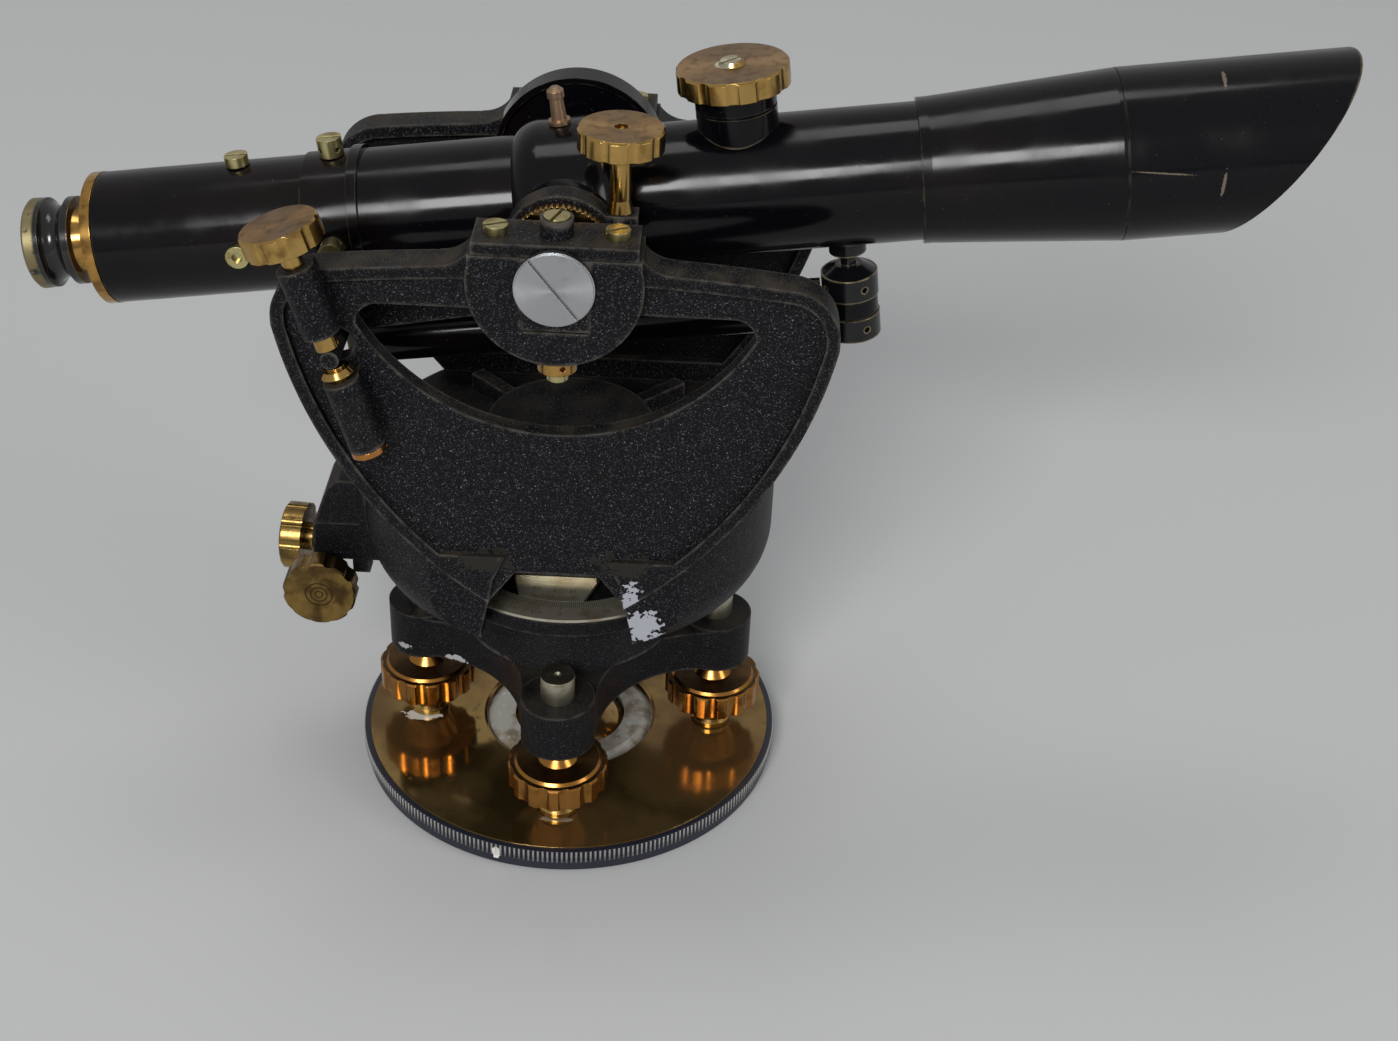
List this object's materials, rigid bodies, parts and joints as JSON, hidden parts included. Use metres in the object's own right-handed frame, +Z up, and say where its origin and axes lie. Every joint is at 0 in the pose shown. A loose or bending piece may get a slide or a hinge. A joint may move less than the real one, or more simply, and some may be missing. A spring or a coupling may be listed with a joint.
{
  "type": "optical surveying transit",
  "caption": "Telescope with a level beneath it, held between two shield-shaped standards that turn on a bowl above a four-screw levelling head with a tripod-thread foot.",
  "frame": {"origin": "centre of the foot ring's underside, at the mouth of the tripod thread", "axes": "+Z up the vertical axis, +X towards the objective, +Y away from the standard that carries the tangent screw"},
  "size_m": [0.3218, 0.12, 0.2185],
  "materials": {
    "foot_enamel": "black enamel worn to bright metal on the knurl",
    "foot_brass": "tarnished polished brass",
    "grey_metal": "dull grey metal with stains",
    "crinkle_black": "black crinkle enamel, worn grey at edges",
    "satin_black": "satin black enamel",
    "gloss_black": "gloss black lacquer",
    "eyepiece_black": "black eyecup with a worn brass rim",
    "brass": "lacquered brass with brown patina",
    "nickel": "dull nickel plate",
    "aluminium": "satin turned aluminium",
    "silvered": "silvered scale",
    "steel": "bare steel",
    "glass": "coated optical glass",
    "vial": "glass vial with pale green spirit"
  },
  "bodies": {
    "base": {"foot_ring": "foot_enamel", "foot_plate": "foot_brass", "plate_screws": "steel", "shifting_plate": "grey_metal"},
    "head": {"levelling_head": "crinkle_black", "half_ball": "foot_brass", "dust_caps": "nickel", "centre_socket": "brass", "circle_carrier": "satin_black", "horizontal_circle": "silvered", "side_shoes": "brass"},
    "front_shoe": {"shoe_front": "brass"},
    "back_shoe": {"shoe_back": "brass"},
    "front_screw": {"levelling_screw_front": "brass"},
    "back_screw": {"levelling_screw_back": "brass"},
    "left_screw": {"levelling_screw_left": "brass"},
    "right_screw": {"levelling_screw_right": "brass"},
    "alidade": {"alidade_bowl": "crinkle_black", "spindle": "steel", "vernier": "silvered", "standard_front": "crinkle_black", "standard_back": "crinkle_black", "bearing_blocks": "crinkle_black", "bearing_caps": "crinkle_black", "cap_screws": "nickel", "bearing_adjusters": "brass", "trunnion_covers": "aluminium", "tangent_end_cap": "brass", "circle_guard": "satin_black", "horizontal_bracket": "crinkle_black", "plunger_spring": "steel"},
    "telescope": {"telescope_barrel": "gloss_black", "trunnion_axle": "steel", "trunnion_ring": "brass", "vertical_circle": "silvered", "objective_cone": "gloss_black", "objective_lens": "glass", "eyepiece_tube": "gloss_black", "reticle": "brass", "eyepiece_screws": "nickel", "sight_post": "brass", "focus_stem": "gloss_black", "level_tube": "gloss_black", "level_vial": "vial", "level_mounts": "satin_black"},
    "vertical_arm": {"vertical_clamp_arm": "satin_black"},
    "vertical_clamp": {"vertical_clamp_screw": "brass"},
    "vertical_tangent": {"vertical_tangent_screw": "brass"},
    "vertical_pin": {"vertical_thrust_pin": "brass"},
    "vertical_follower": {"vertical_plunger": "brass"},
    "horizontal_arm": {"horizontal_clamp_arm": "satin_black"},
    "horizontal_clamp": {"horizontal_clamp_screw": "brass"},
    "horizontal_tangent": {"horizontal_tangent_screw": "brass"},
    "horizontal_pin": {"horizontal_thrust_pin": "brass"},
    "horizontal_follower": {"horizontal_plunger": "brass"},
    "focus": {"focus_knob": "brass"},
    "focusing": {"focusing_cell": "brass"},
    "eyepiece_body": {"eyepiece": "eyepiece_black", "eyepiece_lenses": "glass"},
    "shade": {"sunshade": "gloss_black"}
  },
  "joints": [
    {"name": "head_tilt", "type": "hinge", "parent": "base", "child": "head", "pos_m": [0, 0, -0.012], "axis": [1, 0, 0], "range_deg": [-1.5, 1.5]},
    {"name": "front_shoe_slide", "type": "slide", "parent": "head", "child": "front_shoe", "axis": [0, 0, 1], "range_m": [-0.0011, 0.0011]},
    {"name": "back_shoe_slide", "type": "slide", "parent": "head", "child": "back_shoe", "axis": [0, 0, 1], "range_m": [-0.0011, 0.0011]},
    {"name": "front_screw_turn", "type": "hinge", "parent": "front_shoe", "child": "front_screw", "pos_m": [0, -0.0414, 0.03], "axis": [0, 0, 1], "continuous": true},
    {"name": "back_screw_turn", "type": "hinge", "parent": "back_shoe", "child": "back_screw", "pos_m": [0, 0.0414, 0.03], "axis": [0, 0, 1], "continuous": true},
    {"name": "left_screw_turn", "type": "hinge", "parent": "head", "child": "left_screw", "pos_m": [-0.0414, 0, 0.03], "axis": [0, 0, 1], "continuous": true},
    {"name": "right_screw_turn", "type": "hinge", "parent": "head", "child": "right_screw", "pos_m": [0.0414, 0, 0.03], "axis": [0, 0, 1], "continuous": true},
    {"name": "alidade_turn", "type": "hinge", "parent": "head", "child": "alidade", "pos_m": [0, 0, 0.07], "axis": [0, 0, 1], "continuous": true},
    {"name": "telescope_tilt", "type": "hinge", "parent": "alidade", "child": "telescope", "pos_m": [0, 0, 0.1715], "axis": [0, -1, 0], "range_deg": [-29, 21]},
    {"name": "vertical_arm_swing", "type": "hinge", "parent": "alidade", "child": "vertical_arm", "pos_m": [0, 0, 0.1715], "axis": [0, -1, 0], "range_deg": [-1.6, 1.6]},
    {"name": "vertical_clamp_turn", "type": "hinge", "parent": "vertical_arm", "child": "vertical_clamp", "pos_m": [0.0135, -0.0256, 0.1715], "axis": [0, 0, 1], "range_deg": [0, 270]},
    {"name": "vertical_tangent_turn", "type": "hinge", "parent": "alidade", "child": "vertical_tangent", "pos_m": [-0.0517, -0.0504, 0.1525], "axis": [0.2857, 0, -0.9583], "range_deg": [-1080, 1080]},
    {"name": "vertical_pin_slide", "type": "slide", "parent": "alidade", "child": "vertical_pin", "axis": [0.2857, 0, -0.9583], "range_m": [-0.00151, 0.00151]},
    {"name": "vertical_follower_slide", "type": "slide", "parent": "alidade", "child": "vertical_follower", "axis": [0.2857, 0, -0.9583], "range_m": [-0.00151, 0.00151], "deforming": ["plunger_spring"]},
    {"name": "horizontal_arm_swing", "type": "hinge", "parent": "alidade", "child": "horizontal_arm", "pos_m": [0, 0, 0.0618], "axis": [0, 0, -1], "range_deg": [-0.9, 0.9]},
    {"name": "horizontal_clamp_turn", "type": "hinge", "parent": "horizontal_arm", "child": "horizontal_clamp", "pos_m": [0, 0, 0.0618], "axis": [-0.9969, 0.0785, 0], "range_deg": [0, 270]},
    {"name": "horizontal_tangent_turn", "type": "hinge", "parent": "alidade", "child": "horizontal_tangent", "pos_m": [-0.0664, -0.015, 0.0618], "axis": [0, 1, 0], "range_deg": [-720, 720]},
    {"name": "horizontal_pin_slide", "type": "slide", "parent": "alidade", "child": "horizontal_pin", "axis": [0, 1, 0], "range_m": [-0.00101, 0.00101]},
    {"name": "horizontal_follower_slide", "type": "slide", "parent": "alidade", "child": "horizontal_follower", "axis": [0, 1, 0], "range_m": [-0.00101, 0.00101]},
    {"name": "focus_turn", "type": "hinge", "parent": "telescope", "child": "focus", "pos_m": [0.04258, 0, 0.17748], "axis": [-0.1392, 0, 0.9903], "range_deg": [-90, 90]},
    {"name": "focusing_slide", "type": "slide", "parent": "telescope", "child": "focusing", "axis": [0.9903, 0, 0.1392], "range_m": [-0.00628, 0.00628]},
    {"name": "eyepiece_turn", "type": "hinge", "parent": "telescope", "child": "eyepiece_body", "pos_m": [-0.10893, 0, 0.15619], "axis": [0.9903, 0, 0.1392], "range_deg": [-150, 150]},
    {"name": "sunshade_slide", "type": "slide", "parent": "telescope", "child": "shade", "axis": [0.9903, 0, 0.1392], "range_m": [0, 0.03]}
  ],
  "couplings": [
    {"joint": "front_shoe_slide", "follows": "head_tilt", "m_per_rad": 0.0414},
    {"joint": "back_shoe_slide", "follows": "head_tilt", "m_per_rad": -0.0414},
    {"joint": "vertical_pin_slide", "follows": "vertical_tangent_turn", "m_per_rad": 0.000079577},
    {"joint": "vertical_follower_slide", "follows": "vertical_tangent_turn", "m_per_rad": 0.000079577},
    {"joint": "vertical_arm_swing", "follows": "vertical_tangent_turn", "ratio": 0.001445},
    {"joint": "horizontal_pin_slide", "follows": "horizontal_tangent_turn", "m_per_rad": 0.000079577},
    {"joint": "horizontal_follower_slide", "follows": "horizontal_tangent_turn", "m_per_rad": 0.000079577},
    {"joint": "horizontal_arm_swing", "follows": "horizontal_tangent_turn", "ratio": 0.001198},
    {"joint": "focus_turn", "follows": "focusing_slide", "rad_per_m": -250}
  ]
}
